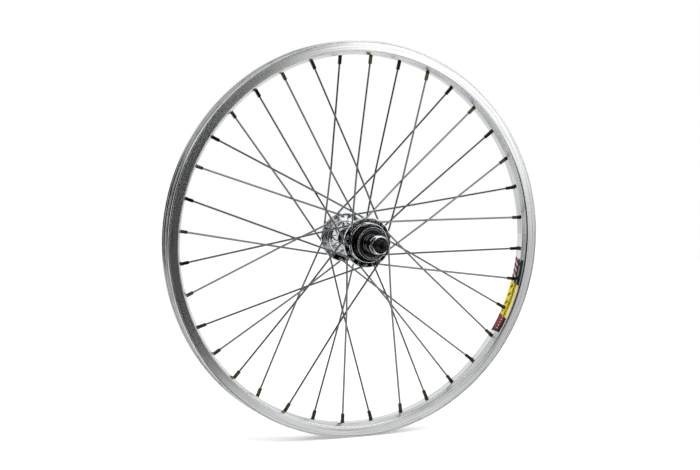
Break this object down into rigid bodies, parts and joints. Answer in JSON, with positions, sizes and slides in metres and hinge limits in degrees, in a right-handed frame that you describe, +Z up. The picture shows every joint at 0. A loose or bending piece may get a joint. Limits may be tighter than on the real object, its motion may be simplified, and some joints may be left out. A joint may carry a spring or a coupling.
{
  "type": "bicycle wheel",
  "caption": "Rear bicycle wheel without tyre: box-section rim laced three cross with wire spokes to a hub with a freewheel thread, turning on ball bearings.",
  "frame": {"origin": "centre of the wheel: middle of the rim, on the axle's centre line, half way between the axle's ends", "axes": "+Y along the axle towards the left side, so the drive side with the freewheel thread faces -Y; +Z up"},
  "size_m": [0.4179, 0.147, 0.418],
  "materials": {
    "rim_alloy": "satin drawn aluminium",
    "sticker_vinyl": "gloss printed vinyl",
    "nipple_brass": "nickelled brass, worn",
    "spoke_steel": "drawn stainless wire",
    "hub_chrome": "polished chrome",
    "race_steel": "ground bearing steel",
    "cap_black": "black oxide",
    "ball_steel": "polished bearing steel",
    "cage_brass": "pressed brass sheet",
    "axle_black": "black oxide thread",
    "spacer_black": "black anodised",
    "nut_chrome": "bright chrome"
  },
  "bodies": {
    "axle_set": {"axle": "axle_black", "drive_cone": "race_steel", "left_cone": "race_steel", "drive_spacer": "spacer_black", "left_spacer": "spacer_black", "drive_washer": "nut_chrome", "left_washer": "nut_chrome", "drive_locknut": "nut_chrome", "left_locknut": "nut_chrome"},
    "wheel": {"rim": "rim_alloy", "rim_sticker": "sticker_vinyl", "nipples": "nipple_brass", "spoke_01": "spoke_steel", "spoke_02": "spoke_steel", "spoke_03": "spoke_steel", "spoke_04": "spoke_steel", "spoke_05": "spoke_steel", "spoke_06": "spoke_steel", "spoke_07": "spoke_steel", "spoke_08": "spoke_steel", "spoke_09": "spoke_steel", "spoke_10": "spoke_steel", "spoke_11": "spoke_steel", "spoke_12": "spoke_steel", "spoke_13": "spoke_steel", "spoke_14": "spoke_steel", "spoke_15": "spoke_steel", "spoke_16": "spoke_steel", "spoke_17": "spoke_steel", "spoke_18": "spoke_steel", "spoke_19": "spoke_steel", "spoke_20": "spoke_steel", "spoke_21": "spoke_steel", "spoke_22": "spoke_steel", "spoke_23": "spoke_steel", "spoke_24": "spoke_steel", "spoke_25": "spoke_steel", "spoke_26": "spoke_steel", "spoke_27": "spoke_steel", "spoke_28": "spoke_steel", "spoke_29": "spoke_steel", "spoke_30": "spoke_steel", "spoke_31": "spoke_steel", "spoke_32": "spoke_steel", "spoke_33": "spoke_steel", "spoke_34": "spoke_steel", "spoke_35": "spoke_steel", "spoke_36": "spoke_steel", "hub_shell": "hub_chrome", "drive_cup": "race_steel", "left_cup": "race_steel", "drive_dust_cap": "cap_black", "left_dust_cap": "cap_black"},
    "drive_ball_ring": {"drive_balls": "ball_steel", "drive_ball_cage": "cage_brass"},
    "left_ball_ring": {"left_balls": "ball_steel", "left_ball_cage": "cage_brass"}
  },
  "joints": [
    {"name": "wheel_spin", "type": "hinge", "parent": "axle_set", "child": "wheel", "pos_m": [0, 0, 0], "axis": [0, 1, 0], "continuous": true},
    {"name": "drive_balls_roll", "type": "hinge", "parent": "axle_set", "child": "drive_ball_ring", "pos_m": [0, -0.0345, 0], "axis": [0, 1, 0], "continuous": true},
    {"name": "left_balls_roll", "type": "hinge", "parent": "axle_set", "child": "left_ball_ring", "pos_m": [0, 0.0325, 0], "axis": [0, 1, 0], "continuous": true}
  ],
  "couplings": [
    {"joint": "drive_balls_roll", "follows": "wheel_spin", "ratio": 0.609},
    {"joint": "left_balls_roll", "follows": "wheel_spin", "ratio": 0.609}
  ]
}
